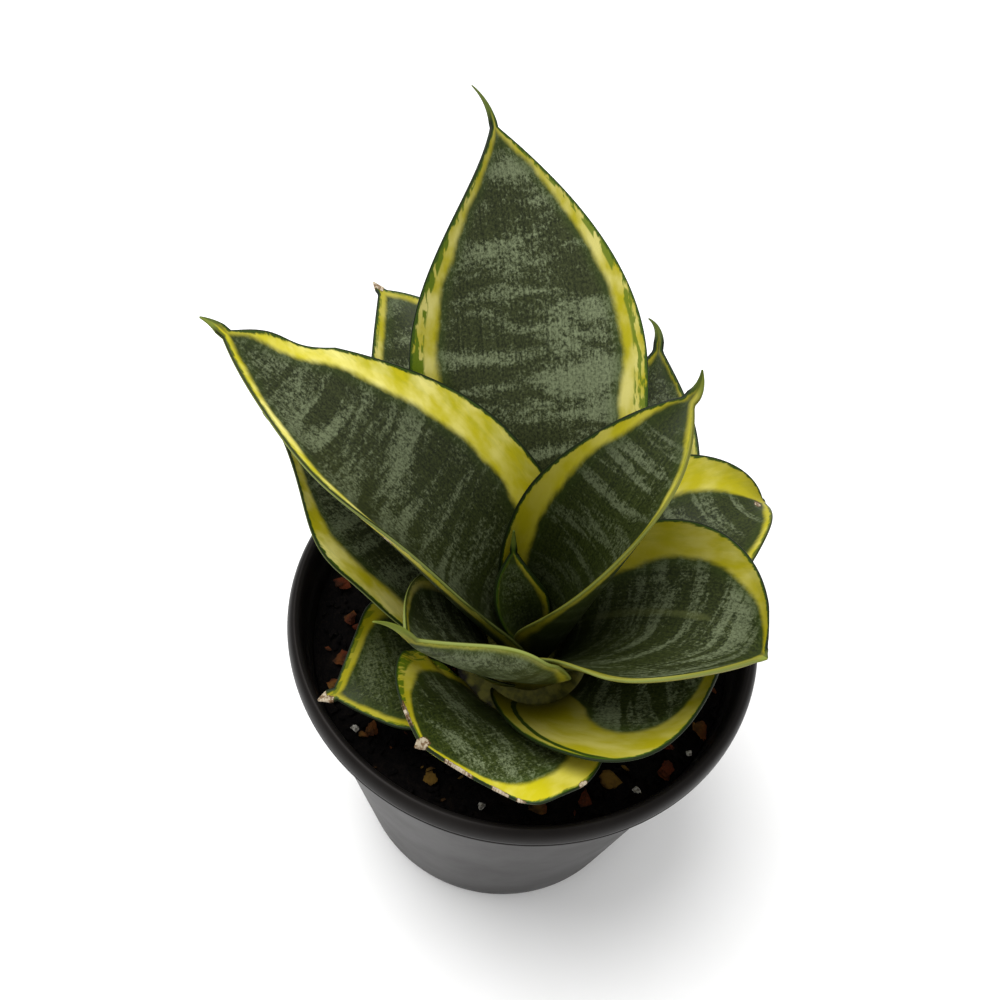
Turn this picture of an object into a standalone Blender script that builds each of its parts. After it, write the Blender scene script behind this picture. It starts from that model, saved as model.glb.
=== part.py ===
"""Potted bird's-nest snake plant: a rosette of thirteen variegated leaves on a short crown, in potting mix,
in a thin moulded nursery pot. Metres, +Z up, the pot's axis on Z and its base resting on z = 0.

Each leaf is one blade bent lengthwise. Its midrib leaves a ring round the crown and swings through three
headings and three slopes (foot, middle, end). Its outline widens, then narrows to a horn at the tip. Its
section is an arc whose bend also runs through three values. Older leaves stand on wider, lower rings, so
each leaf wraps round all the younger ones inside it.
"""

import math
from collections import namedtuple

import bmesh
import bpy
from mathutils import Matrix, Vector, noise

MM = 0.001

# Pot: outer radii and heights, in millimetres like every length below
POT_HEIGHT = 88.0
POT_FOOT_RADIUS = 39.6
POT_FOOT_ROUND = 1.2
POT_NECK_RADIUS = 52.4
POT_NECK_HEIGHT = 82.0
POT_WALL = 1.4
POT_FLOOR = 1.8
RIM_RADIUS = 55.0
RIM_SKIRT = 5.0
RIM_LIP = 1.2
RIM_ROUND = 1.0
POT_SEGMENTS = 72
DRAIN_HOLES = 8
DRAIN_RING = 27.0
DRAIN_RADIUS = 3.5
DRAIN_SEGMENTS = 24

# Potting mix: level of its top, height and spread of its lumps
SOIL_LEVEL = 75.5
SOIL_LUMP_HEIGHT = 0.7
SOIL_LUMP_SPREAD = 9.0
SOIL_RINGS = 9
SOIL_SEGMENTS = 48
GAP = 0.35

# Crown: the short stem that carries the leaves, a little off the pot's axis
CROWN_X = 3.0
CROWN_Y = -8.0
CROWN_RADIUS = 17.0
CROWN_FOOT = 69.7
CROWN_SHOULDER = 76.3
CROWN_TOP = 83.0
CROWN_TOP_RADIUS = 1.5
CROWN_SEGMENTS = 36

# Leaf feet: ring radius and height of the youngest, and the step to the next older leaf
FIRST_RING = 2.0
RING_STEP = 1.5
FIRST_FOOT = 84.0
FOOT_STEP = 0.55

# Blade: thickness along the midrib, along the margins and at the end of the horn
THICK_MIDRIB = 1.8
THICK_MARGIN = 0.7
THICK_HORN = 0.6
HORN_END = 0.25
FULL_THICK_HALF = 8.0
CLASP_FADE = 0.3
BLADE_ROWS = 13
HORN_ROWS = 3
BLADE_COLUMNS = 8

# length, width in mm; base: foot width over full width; widest: where along the blade; taper: power of
# the narrowing beyond it; heading: compass angle from +X and rise: slope, both at foot, middle and end;
# cup: bend of half the section and roll: turn about the midrib, both at middle and end; horn: length and
# half width; turn: heading and rise that the horn adds; clasp: extra reach of the left margin round the
# leaves inside, at the foot. Angles in degrees. Youngest leaf first.
Leaf = namedtuple("Leaf", "name length width base widest taper heading rise cup roll horn turn clasp",
                  defaults=(0.0,))
LEAVES = (
    Leaf("leaf_centre_young", 28.5, 14, 0.30, 0.48, 1.05,
         (150, 139, 110), (90, 68, 68), (50, 33), (26, 19), (4.5, 0.8), (0, 0)),
    Leaf("leaf_inner_cup", 73, 45, 0.54, 0.35, 0.90,
         (26, 53, 54), (72, 70, 29), (90, 30), (20, -18), (5.5, 1.6), (55, 30)),
    Leaf("leaf_left_large", 98, 55, 0.38, 0.34, 0.95,
         (162, 163, 163), (71, 38, 30), (65, 25), (-4, 4), (4.5, 1.4), (20, -10)),
    Leaf("leaf_right_wide", 58, 55, 0.42, 0.55, 0.70,
         (-15, -13, -43), (83, 35, 42), (60, 40), (8, -10), (1.0, 1.8), (20, -30)),
    Leaf("leaf_back_tall", 113, 53, 0.38, 0.55, 0.95,
         (101, 110, 121), (65, 48, 43), (6, 50), (3, -20), (9.0, 1.1), (35, -20)),
    Leaf("leaf_front_left_folded", 52, 43, 0.28, 0.65, 1.27,
         (-110, -140, -155), (88, 48, 66), (58, 57), (-18, -44), (13.0, 1.8), (30, -15)),
    Leaf("leaf_right_back_curled", 64, 38, 0.45, 0.55, 0.85,
         (30, 39, 38), (72, 33, -39), (30, 85), (-2, -12), (3.0, 1.2), (0, -60)),
    Leaf("leaf_left_lower", 71, 49, 0.60, 0.55, 1.00,
         (167, 156, 182), (61, 38, 33), (40, 35), (-2, 12), (3.0, 1.3), (-20, 0), 8.0),
    Leaf("leaf_front_right_lower", 41, 58, 0.75, 0.45, 1.15,
         (-36, 0, 27), (71, 37, 37), (40, 30), (10, 10), (3.0, 1.4), (-30, 0)),
    Leaf("leaf_back_right", 70, 38, 0.55, 0.45, 1.10,
         (66, 74, 96), (73, 33, 35), (35, 50), (-6, -2), (7.0, 1.3), (45, -40)),
    Leaf("leaf_front_blunt", 37, 53, 0.60, 0.55, 0.60,
         (-90, -143, -122), (67, 36, 31), (15, 20), (-22, 8), (2.5, 1.5), (-5, 20)),
    Leaf("leaf_back_left", 84, 41, 0.55, 0.50, 0.90,
         (127, 122, 140), (66, 29, 9), (30, 40), (0, 4), (2.5, 1.2), (0, 20)),
    Leaf("leaf_front_left_low", 33, 39, 0.55, 0.40, 1.20,
         (-153, -141, -155), (53, 28, -9), (35, 30), (2, 22), (2.5, 1.5), (10, 0)),
)

# Loose pieces on the mix: x, y, longest side in mm and turn in degrees
BARK = (
    (-45, 4, 5.0, 20), (-41, -5, 4.0, 70), (-40, -16, 5.0, 140), (-40, -23, 4.5, 30),
    (-29, -32, 4.5, 100), (-14, -41, 4.0, 55), (10, -43, 4.5, 160), (20, -39, 5.0, 80),
    (25, -34, 6.0, 35), (37, -29, 5.0, 120), (37, -23, 3.5, 10), (44, -18, 5.0, 65),
)
BARK_FLATNESS = (1.0, 0.65, 0.38)
PERLITE = ((-33, -33, 2.0, 0), (-2, -45, 1.8, 40), (31, -35, 2.2, 15), (42, -24, 1.8, 75))
PERLITE_FLATNESS = (1.0, 0.85, 0.8)
CHIP_JITTER = 0.16

LEAF_GREEN = (0.055, 0.11, 0.035)
YOUNG_GREEN = (0.09, 0.15, 0.04)


def clear_scene():
    for thing in list(bpy.data.objects):
        bpy.data.objects.remove(thing, do_unlink=True)


def material(name, colour, roughness):
    made = bpy.data.materials.new(name)
    made.use_nodes = True
    shader = made.node_tree.nodes["Principled BSDF"]
    shader.inputs["Base Color"].default_value = (*colour, 1.0)
    shader.inputs["Roughness"].default_value = roughness
    shader.inputs["Metallic"].default_value = 0.0
    return made


def add_object(name, bm, finish, smooth=True):
    """The bmesh, drawn in millimetres, as one object in metres."""
    bmesh.ops.scale(bm, verts=bm.verts[:], vec=(MM, MM, MM))
    mesh = bpy.data.meshes.new(name)
    bm.to_mesh(mesh)
    bm.free()
    for polygon in mesh.polygons:
        polygon.use_smooth = smooth
    made = bpy.data.objects.new(name, mesh)
    made.data.materials.append(finish)
    bpy.context.scene.collection.objects.link(made)
    return made


def face_outward(bm):
    bmesh.ops.recalc_face_normals(bm, faces=bm.faces[:])
    if bm.calc_volume(signed=True) < 0:
        bmesh.ops.reverse_faces(bm, faces=bm.faces[:])


def lathe(profile, segments):
    """A closed body turned about Z from (radius, height) points that start and end on the axis."""
    bm = bmesh.new()
    rail = [bm.verts.new((radius, 0.0, height)) for radius, height in profile]
    edges = [bm.edges.new(pair) for pair in zip(rail, rail[1:])]
    bmesh.ops.spin(bm, geom=rail + edges, cent=(0, 0, 0), axis=(0, 0, 1), angle=math.tau,
                   steps=segments, use_merge=True)
    bmesh.ops.remove_doubles(bm, verts=bm.verts[:], dist=0.01)
    face_outward(bm)
    return bm


def cut(target, cutter):
    """Takes the cutter's shape out of the target, and keeps the cutter hidden."""
    cutter.hide_render = True
    cutter.display_type = "WIRE"
    boolean = target.modifiers.new("cut", "BOOLEAN")
    boolean.operation = "DIFFERENCE"
    boolean.solver = "EXACT"
    boolean.object = cutter


def pot_outer_radius(height):
    return POT_FOOT_RADIUS + (POT_NECK_RADIUS - POT_FOOT_RADIUS) * height / POT_NECK_HEIGHT


def pot_inner_radius(height):
    return pot_outer_radius(height) - POT_WALL


def rim_profile():
    """From the inner wall over the rolled top and down the skirt to the neck under it."""
    top = POT_HEIGHT
    inner = pot_inner_radius(POT_NECK_HEIGHT)
    skirt = top - RIM_ROUND - RIM_SKIRT
    return [
        (inner, POT_NECK_HEIGHT),
        (inner + 0.3, top - 2.2),
        (inner + 1.0, top - 0.6),
        (inner + 1.9, top),
        (RIM_RADIUS - RIM_ROUND, top),
        (RIM_RADIUS - 0.3, top - 0.5),
        (RIM_RADIUS, top - RIM_ROUND - 0.3),
        (RIM_RADIUS - 0.2, skirt),
        (RIM_RADIUS - RIM_LIP, skirt),
        (RIM_RADIUS - RIM_LIP - 0.1, top - RIM_LIP - 0.8),
        (POT_NECK_RADIUS + 0.2, top - RIM_LIP - 0.8),
        (POT_NECK_RADIUS, POT_NECK_HEIGHT),
    ]


def pot_profile():
    floor = [(0.0, POT_FLOOR), (pot_inner_radius(POT_FLOOR) - 1.0, POT_FLOOR),
             (pot_inner_radius(POT_FLOOR + 1.0), POT_FLOOR + 1.0)]
    foot = [(pot_outer_radius(POT_FOOT_ROUND), POT_FOOT_ROUND),
            (POT_FOOT_RADIUS - 0.3, 0.3), (POT_FOOT_RADIUS - POT_FOOT_ROUND, 0.0), (0.0, 0.0)]
    return floor + rim_profile() + foot


def add_drain_cutter():
    bm = bmesh.new()
    for index in range(DRAIN_HOLES):
        angle = math.tau * (index + 0.5) / DRAIN_HOLES
        place = Vector((DRAIN_RING * math.cos(angle), DRAIN_RING * math.sin(angle), POT_FLOOR / 2))
        bmesh.ops.create_cone(bm, cap_ends=True, segments=DRAIN_SEGMENTS, radius1=DRAIN_RADIUS,
                              radius2=DRAIN_RADIUS, depth=3 * POT_FLOOR, matrix=Matrix.Translation(place))
    return add_object("drain_cutter", bm, material("Cutter", (1, 0, 0), 0.5))


def add_pot():
    plastic = material("Black moulded polypropylene", (0.014, 0.014, 0.013), 0.42)
    pot = add_object("pot", lathe(pot_profile(), POT_SEGMENTS), plastic)
    cut(pot, add_drain_cutter())


def soil_height(x, y):
    """Height of the mix: even, with low lumps."""
    lump = noise.noise(Vector((x, y, 0.0)) / SOIL_LUMP_SPREAD)
    return SOIL_LEVEL + SOIL_LUMP_HEIGHT * lump


def soil_profile():
    floor = POT_FLOOR + GAP
    edge = pot_inner_radius(SOIL_LEVEL) - GAP
    rings = [(edge * ring / SOIL_RINGS, SOIL_LEVEL) for ring in range(SOIL_RINGS + 1)]
    low = [(pot_inner_radius(floor + 2.0) - GAP, floor + 2.0), (pot_inner_radius(floor) - 2.0, floor)]
    return rings + low + [(0.0, floor)]


def add_soil():
    bm = lathe(soil_profile(), SOIL_SEGMENTS)
    for vert in bm.verts:
        if vert.co.z > SOIL_LEVEL - 1.0:
            vert.co.z = soil_height(vert.co.x, vert.co.y)
    soil = add_object("soil", bm, material("Damp peat potting mix", (0.012, 0.009, 0.007), 0.95))
    pocket = bmesh.new()
    place = Vector((CROWN_X, CROWN_Y, CROWN_FOOT - GAP + CROWN_RADIUS / 2))
    bmesh.ops.create_cone(pocket, cap_ends=True, segments=CROWN_SEGMENTS, radius1=CROWN_RADIUS + GAP,
                          radius2=CROWN_RADIUS + GAP, depth=CROWN_RADIUS, matrix=Matrix.Translation(place))
    cut(soil, add_object("crown_pocket", pocket, material("Pocket", (1, 0, 0), 0.5)))


def add_crown():
    profile = [(0.0, CROWN_TOP), (CROWN_TOP_RADIUS, CROWN_TOP), (CROWN_RADIUS, CROWN_SHOULDER),
               (CROWN_RADIUS, CROWN_FOOT + 2.0), (CROWN_RADIUS - 2.0, CROWN_FOOT), (0.0, CROWN_FOOT)]
    bm = lathe(profile, CROWN_SEGMENTS)
    bmesh.ops.translate(bm, verts=bm.verts[:], vec=(CROWN_X, CROWN_Y, 0.0))
    add_object("crown", bm, material("Pale leaf-base tissue", (0.25, 0.27, 0.12), 0.6))


def through(values, t):
    """The smooth curve through three values at t = 0, 0.5 and 1."""
    first, middle, last = values
    return first * (1 - t) * (1 - 2 * t) + middle * 4 * t * (1 - t) + last * t * (2 * t - 1)


def half_width(leaf, t):
    full = leaf.width / 2
    if t < leaf.widest:
        share = leaf.base + (1 - leaf.base) * math.sin(math.pi / 2 * t / leaf.widest)
    else:
        share = max(math.cos(math.pi / 2 * (t - leaf.widest) / (1 - leaf.widest)), 0.0) ** leaf.taper
    return max(full * share, leaf.horn[1])


def direction(heading, rise):
    return Vector((math.cos(rise) * math.cos(heading), math.cos(rise) * math.sin(heading), math.sin(rise)))


def stations(leaf, rank):
    """Along the midrib: place, side, upward normal, half width, bend and stretch of the left half."""
    ring = FIRST_RING + RING_STEP * rank
    start = math.radians(leaf.heading[0])
    place = Vector((CROWN_X + ring * math.cos(start), CROWN_Y + ring * math.sin(start),
                    FIRST_FOOT - FOOT_STEP * rank))
    wrap = math.degrees(leaf.width / 2 * leaf.base / (ring + 0.6))
    found, ahead = [], None
    for row in range(BLADE_ROWS + HORN_ROWS + 1):
        t = min(row / BLADE_ROWS, 1.0)
        past = max(row - BLADE_ROWS, 0) / HORN_ROWS
        heading = math.radians(through(leaf.heading, t) + leaf.turn[0] * past)
        rise = math.radians(through(leaf.rise, t) + leaf.turn[1] * past)
        roll = math.radians(through((0.0, *leaf.roll), t))
        bend = math.radians(max(through((wrap, *leaf.cup), t), 0.5))
        along = direction(heading, rise)
        if ahead:
            step = leaf.horn[0] / HORN_ROWS if past else leaf.length / BLADE_ROWS
            place = place + (ahead + along) * step / 2
        ahead = along
        level = Vector((math.sin(heading), -math.cos(heading), 0.0))
        upward = level.cross(along)
        side = level * math.cos(roll) + upward * math.sin(roll)
        normal = upward * math.cos(roll) - level * math.sin(roll)
        half = leaf.horn[1] + (HORN_END - leaf.horn[1]) * past if past else half_width(leaf, t)
        stretch = 1 + leaf.clasp * max(1 - t / CLASP_FADE, 0.0) ** 2 / half
        found.append((place, side, normal, half, bend, stretch))
    return found


def blade_point(station, across, face):
    """A point at -1 to 1 across the blade, on its upper (1) or under (-1) face."""
    place, side, normal, half, bend, stretch = station
    radius = half / bend
    angle = bend * across * (stretch if across < 0 else 1)
    middle = place + side * radius * math.sin(angle) + normal * radius * (1 - math.cos(angle))
    out = normal * math.cos(angle) - side * math.sin(angle)
    thick = THICK_MARGIN + (THICK_MIDRIB - THICK_MARGIN) * (1 - across * across)
    end = min(half / FULL_THICK_HALF, 1.0)
    thick = THICK_HORN + (thick - THICK_HORN) * end
    return middle + out * face * thick / 2


def add_leaf(leaf, rank):
    """A grid bent to the blade, drawn out to a second face and moved to its thickness."""
    line = stations(leaf, rank)
    bm = bmesh.new()
    bmesh.ops.create_grid(bm, x_segments=BLADE_COLUMNS, y_segments=len(line) - 1, size=1.0)
    rows = bm.verts.layers.int.new("row")
    for vert in bm.verts:
        vert[rows] = round((vert.co.y + 1) / 2 * (len(line) - 1))
    raised = bmesh.ops.extrude_face_region(bm, geom=bm.faces[:], use_keep_orig=True)
    upper = {item for item in raised["geom"] if isinstance(item, bmesh.types.BMVert)}
    for vert in bm.verts:
        vert.co = blade_point(line[vert[rows]], vert.co.x, 1 if vert in upper else -1)
    face_outward(bm)
    colour = YOUNG_GREEN if rank == 0 else LEAF_GREEN
    add_object(leaf.name, bm, material("Waxy leaf " + leaf.name, colour, 0.4))


def add_chip(name, spot, flatness, finish):
    """A rough flat lump lying just clear of the mix."""
    x, y, longest, turn = spot
    bm = bmesh.new()
    bmesh.ops.create_icosphere(bm, subdivisions=2, radius=longest / 2)
    for vert in bm.verts:
        vert.co *= 1 + CHIP_JITTER * noise.noise(vert.co * 0.9 + Vector((x, y, 0.0)))
    bmesh.ops.scale(bm, verts=bm.verts[:], vec=flatness)
    bmesh.ops.rotate(bm, verts=bm.verts[:], cent=(0, 0, 0), matrix=Matrix.Rotation(math.radians(turn), 3, "Z"))
    under = max(soil_height(x + vert.co.x, y + vert.co.y) - vert.co.z for vert in bm.verts)
    bmesh.ops.translate(bm, verts=bm.verts[:], vec=(x, y, under + GAP))
    add_object(name, bm, finish, smooth=False)


def add_loose_pieces():
    bark = material("Composted bark", (0.12, 0.075, 0.035), 0.9)
    perlite = material("Expanded perlite", (0.75, 0.74, 0.7), 0.85)
    for index, spot in enumerate(BARK, 1):
        add_chip(f"bark_chip_{index:02d}", spot, BARK_FLATNESS, bark)
    for index, spot in enumerate(PERLITE, 1):
        add_chip(f"perlite_{index:02d}", spot, PERLITE_FLATNESS, perlite)


def main():
    clear_scene()
    add_pot()
    add_soil()
    add_crown()
    for rank, leaf in enumerate(LEAVES):
        add_leaf(leaf, rank)
    add_loose_pieces()


main()
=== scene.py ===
import math
import random
from collections import namedtuple

import bmesh
import bpy
from mathutils import Matrix, Vector, noise


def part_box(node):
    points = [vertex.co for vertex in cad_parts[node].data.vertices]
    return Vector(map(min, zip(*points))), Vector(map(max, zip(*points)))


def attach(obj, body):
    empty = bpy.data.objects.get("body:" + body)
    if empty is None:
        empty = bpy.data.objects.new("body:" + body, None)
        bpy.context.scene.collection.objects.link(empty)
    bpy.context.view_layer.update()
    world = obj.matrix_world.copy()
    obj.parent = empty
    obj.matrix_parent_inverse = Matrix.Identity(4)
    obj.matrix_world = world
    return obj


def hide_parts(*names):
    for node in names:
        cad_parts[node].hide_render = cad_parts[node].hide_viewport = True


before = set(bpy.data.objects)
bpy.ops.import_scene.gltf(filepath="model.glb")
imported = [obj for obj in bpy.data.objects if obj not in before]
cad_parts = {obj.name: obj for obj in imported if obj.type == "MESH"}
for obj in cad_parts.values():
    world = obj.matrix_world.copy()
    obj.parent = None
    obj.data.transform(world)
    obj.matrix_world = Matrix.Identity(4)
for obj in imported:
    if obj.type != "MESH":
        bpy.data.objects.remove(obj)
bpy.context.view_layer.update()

MM = 0.001

# Crown and leaf feet, in millimetres, as in the solid model
CROWN_X, CROWN_Y, CROWN_SHOULDER = 3.0, -8.0, 76.3
FIRST_RING, RING_STEP = 2.0, 1.5
FIRST_FOOT, FOOT_STEP = 84.0, 0.55

# Blade: thickness along the midrib, along the margins and in the horn
THICK_MIDRIB, THICK_MARGIN, THICK_HORN = 1.8, 0.7, 0.9
FULL_THICK_HALF = 8.0
CLASP_FADE = 0.3
EDGE_ROUND = 0.55
EDGE_THICK = 0.16
HORN_END = 0.2
BLADE_ROWS = 110
HORN_ROWS = 16
COLUMNS = 44

# Pot: outer radii and heights, a ledge inside the wall, and the rim: its radius, the skirt's height, the lip
# under it, the rolled edge and the groove
POT_HEIGHT = 88.0
POT_FOOT_RADIUS, POT_FOOT_ROUND = 39.6, 1.2
POT_NECK_RADIUS, POT_NECK_HEIGHT = 52.4, 82.0
POT_WALL, POT_FLOOR = 1.4, 1.8
POT_LEDGE = 79.0
RIM_RADIUS, RIM_SKIRT, RIM_LIP, RIM_ROLL, RIM_GROOVE = 55.0, 5.2, 1.2, 2.0, 0.2
POT_SEGMENTS = 240
DRAIN_HOLES, DRAIN_RING, DRAIN_RADIUS = 8, 27.0, 3.5

# Potting mix: how far its surface lies below its level under the relief of crumbs, its gap to the pot, and
# the loose crumbs on it: how many, how far out, their size in mm and what share is bark
SOIL_LEVEL = 75.5
SOIL_LUMP_HEIGHT, SOIL_LUMP_SPREAD = 0.7, 9.0
SOIL_RINGS, SOIL_SEGMENTS = 90, 360
CRUMB_SINK = 0.5
GAP = 0.35
CRUMBS, CRUMB_FIELD = 1300, 49.0
CRUMB_SIZE = (1.2, 3.4)
BARK_SHARE = 0.07

# Camera: lens and sensor in mm, place in metres, and the directions of its right side and of its view
CAMERA_LENS, CAMERA_SENSOR = 38.871, 36.0
CAMERA_PLACE = (0.0, -0.13298, 0.30243)
CAMERA_RIGHT = (0.9842, 0.1637, 0.0671)
CAMERA_VIEW = (-0.0455, 0.6009, -0.7980)

# Studio: strength of the white surround, then the key lamp's watts, and its width, place and target in metres
SURROUND = 0.79
KEY_POWER, KEY_WIDTH = 8.2, 0.7
KEY_PLACE, KEY_TARGET = (-0.25, 0.1, 0.9), (0.0, 0.0, 0.08)
FLOOR_HALF = 2.0

# The blade's design, with the values of the solid model. length, width in mm; base: foot width over full
# width; widest: where along the blade; taper: power of the narrowing beyond it; heading: compass angle from
# +X and rise: slope, both at foot, middle and end; cup: bend of half the section and roll: turn about the
# midrib, both at middle and end; horn: length and half width; turn: heading and rise that the horn adds;
# clasp: extra reach of the left margin round the leaves inside, at the foot. Angles in degrees.
# The blade's looks. left, right: width in mm of the yellow band along each margin at foot, middle and end;
# streak: how much green breaks up the left and right bands; wave: height in mm, waves along the blade and
# phase of the ripple in each margin; slant: how far in mm the cross bands run towards the tip for each mm
# outwards, left and right; tone: how light the leaf is, partly its own green and partly painted light and
# shade for how much light reaches it; thread: share of the dark line on the left and right edges;
# pale: share of a pale line there, which on the under face is partly a painted glint; coat: amount of grey
# frosting, how far its bands thin into fine lines, and share of the blade darkened by painted shade of the
# rosette. Youngest leaf first.
Leaf = namedtuple("Leaf", "name length width base widest taper heading rise cup roll horn turn "
                          "left right streak wave slant tone thread pale coat clasp", defaults=(0.0,))
LEAVES = (
    Leaf("leaf_centre_young", 28.5, 14, 0.30, 0.48, 1.05,
         (150, 139, 110), (90, 68, 68), (50, 33), (26, 19), (4.5, 0.8), (0, 0),
         (0.0, 0.0, 0.0), (0.0, 1.6, 0.4), (0.5, 0.6), (0.15, 2.0, 0.2), (0.0, 0.0),
         0.76, (1, 1), (0, 0), (0.35, 0.3, 0.7)),
    Leaf("leaf_inner_cup", 73, 45, 0.54, 0.35, 0.90,
         (26, 53, 54), (72, 70, 29), (90, 30), (20, -18), (5.5, 1.6), (55, 30),
         (7.5, 6.0, 0.2), (1.3, 1.6, 0.8), (0.0, 0.1), (0.25, 2.3, 0.4), (0.25, 0.25),
         0.74, (1, 0.5), (0, 0.45), (0.5, 1.0, 0.8)),
    Leaf("leaf_left_large", 98, 55, 0.38, 0.34, 0.95,
         (162, 163, 163), (71, 38, 30), (65, 25), (-4, 4), (4.5, 1.4), (20, -10),
         (1.8, 2.9, 1.5), (9.5, 7.8, 0.4), (0.35, 0.12), (0.5, 2.6, 1.0), (0.1, 0.3),
         0.83, (0.9, 1), (0.7, 0), (0.82, 0.6, 0.7)),
    Leaf("leaf_right_wide", 58, 55, 0.42, 0.55, 0.70,
         (-15, -13, -43), (83, 35, 42), (60, 40), (8, -10), (1.0, 1.8), (20, -30),
         (8.0, 8.8, 1.2), (2.4, 2.4, 2.0), (0.1, 0.1), (0.4, 2.2, 2.0), (0.0, -1.1),
         0.80, (1, 0.15), (0, 0.9), (0.62, 1.0, 0.8)),
    Leaf("leaf_back_tall", 113, 53, 0.38, 0.55, 0.95,
         (101, 110, 121), (65, 48, 43), (6, 50), (3, -20), (9.0, 1.1), (35, -20),
         (9.0, 6.3, 1.2), (9.0, 5.8, 1.2), (1.0, 0.9), (0.3, 2.0, 0.0), (0.0, 0.0),
         1.00, (1, 1), (0, 0), (1.0, 0.0, 0.45)),
    Leaf("leaf_front_left_folded", 52, 43, 0.28, 0.65, 1.27,
         (-110, -140, -155), (88, 48, 66), (58, 57), (-18, -44), (13.0, 1.8), (30, -15),
         (9.0, 1.2, 1.5), (7.0, 3.2, 2.6), (0.3, 0.6), (0.5, 3.5, 0.5), (0.2, 0.2),
         0.86, (0.7, 0.8), (0.8, 0.8), (0.7, 0.6, 0.4)),
    Leaf("leaf_right_back_curled", 64, 38, 0.45, 0.55, 0.85,
         (30, 39, 38), (72, 33, -39), (30, 85), (-2, -12), (3.0, 1.2), (0, -60),
         (8.0, 9.6, 6.2), (2.0, 2.0, 1.5), (0.1, 0.5), (0.4, 3.0, 1.5), (0.2, 0.2),
         0.85, (1, 0.8), (0, 0), (0.55, 1.0, 0.6)),
    Leaf("leaf_left_lower", 71, 49, 0.60, 0.55, 1.00,
         (167, 156, 182), (61, 38, 33), (40, 35), (-2, 12), (3.0, 1.3), (-20, 0),
         (7.0, 6.6, 0.8), (3.0, 3.0, 2.0), (0.15, 0.3), (0.4, 2.5, 0.0), (0.4, 0.4),
         1.13, (1, 1), (0.3, 0), (0.75, 0.5, 0.3), 8.0),
    Leaf("leaf_front_right_lower", 41, 58, 0.75, 0.45, 1.15,
         (-36, 0, 27), (71, 37, 37), (40, 30), (10, 10), (3.0, 1.4), (-30, 0),
         (4.0, 4.0, 2.0), (32.0, 12.5, 4.5), (0.1, 0.0), (0.3, 2.5, 0.7), (0.3, 0.3),
         1.15, (1, 1), (0, 0), (0.55, 0.9, 0.25)),
    Leaf("leaf_back_right", 70, 38, 0.55, 0.45, 1.10,
         (66, 74, 96), (73, 33, 35), (35, 50), (-6, -2), (7.0, 1.3), (45, -40),
         (2.0, 2.0, 0.8), (2.0, 2.0, 0.8), (0.6, 0.6), (0.3, 3.0, 0.0), (0.0, 0.0),
         0.85, (1, 1), (0, 0), (0.6, 0.3, 0.5)),
    Leaf("leaf_front_blunt", 37, 53, 0.60, 0.55, 0.60,
         (-90, -143, -122), (67, 36, 31), (15, 20), (-22, 8), (2.5, 1.5), (-5, 20),
         (7.0, 6.5, 2.5), (2.5, 7.0, 4.0), (0.0, 1.0), (0.5, 3.5, 1.2), (0.2, 0.0),
         1.15, (1, 1), (0, 0), (0.5, 0.7, 0.5)),
    Leaf("leaf_back_left", 84, 41, 0.55, 0.50, 0.90,
         (127, 122, 140), (66, 29, 9), (30, 40), (0, 4), (2.5, 1.2), (0, 20),
         (4.0, 3.5, 2.2), (3.0, 3.0, 2.0), (0.6, 0.5), (0.4, 3.0, 0.9), (0.0, 0.0),
         0.90, (1, 1), (0, 0), (0.75, 0.2, 0.4)),
    Leaf("leaf_front_left_low", 33, 39, 0.55, 0.40, 1.20,
         (-153, -141, -155), (53, 28, -9), (35, 30), (2, 22), (2.5, 1.5), (10, 0),
         (2.4, 2.6, 1.8), (4.0, 4.2, 3.0), (0.7, 0.7), (0.4, 3.5, 0.3), (0.3, 0.0),
         0.80, (1, 1), (0, 0), (0.36, 0.5, 0.5)),
)

# Dark stripe inside the right-hand band, by leaf: its distance from the edge in mm at the foot, and the share
# of the blade at which it runs into the edge
STRIPES = {"leaf_front_right_lower": (6.5, 0.6)}

# Last lobe of the right margin near the tip, by leaf: how far in mm it stands in and then out. It starts and
# ends at these shares of the blade
TIP_LOBES = {"leaf_left_large": 1.0}
LOBE_START, LOBE_END = 0.80, 0.98

# How light the yellow band is beside the rest of the leaf, where it isn't 1
BAND_LIGHT = {"leaf_left_large": 1.65, "leaf_inner_cup": 1.4, "leaf_back_tall": 0.84, "leaf_right_wide": 0.88,
              "leaf_right_back_curled": 1.2, "leaf_left_lower": 1.15, "leaf_front_right_lower": 0.72}

# Pale crease along the blade where it folds, by leaf: how far in mm it lies to the right of the midrib
CREASES = {"leaf_right_wide": -5.5}

# How far in waves the right margin's ripple runs ahead of the left margin's
RIPPLE_LEAD = 0.37

# Names under which a leaf's points carry the measures that its skin is drawn by, three numbers in each
MEASURES = ("blade", "edge", "state", "finish", "coat", "lane")

# How far apart in mm the patterns of two leaves lie in the noise that draws them
PATTERN_STEP = 40.0

# What the rosette's shade leaves of the frosting and of the light at a leaf's foot, and what both lose from
# this share of the blade to the tip
FOOT_FROST, FOOT_LIGHT = 0.3, 0.4
TIP_START, TIP_FROST_LOSS, TIP_LIGHT_LOSS = 0.8, 0.6, 0.2

# Distance in mm at which a point counts as well away from a stripe or a crease
FAR_OFF = 9.0

# Dried tips by leaf, and dried nicks: leaf, share along, share across, radius in mm
DRIED_TIPS = {"leaf_front_blunt": 1.0, "leaf_front_left_low": 0.8, "leaf_back_left": 0.5}
NICKS = (
    ("leaf_left_large", 0.50, -0.88, 1.3), ("leaf_front_blunt", 1.00, 0.00, 1.5),
    ("leaf_front_blunt", 0.96, 0.90, 1.0), ("leaf_front_blunt", 0.95, -0.95, 1.2),
    ("leaf_front_blunt", 0.84, -1.00, 1.2), ("leaf_front_blunt", 0.76, -1.00, 0.8),
    ("leaf_front_blunt", 0.47, -1.00, 0.9), ("leaf_right_back_curled", 0.93, 0.20, 1.2),
    ("leaf_back_left", 1.00, 0.30, 1.2), ("leaf_front_left_low", 1.00, -0.50, 1.0),
)


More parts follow.
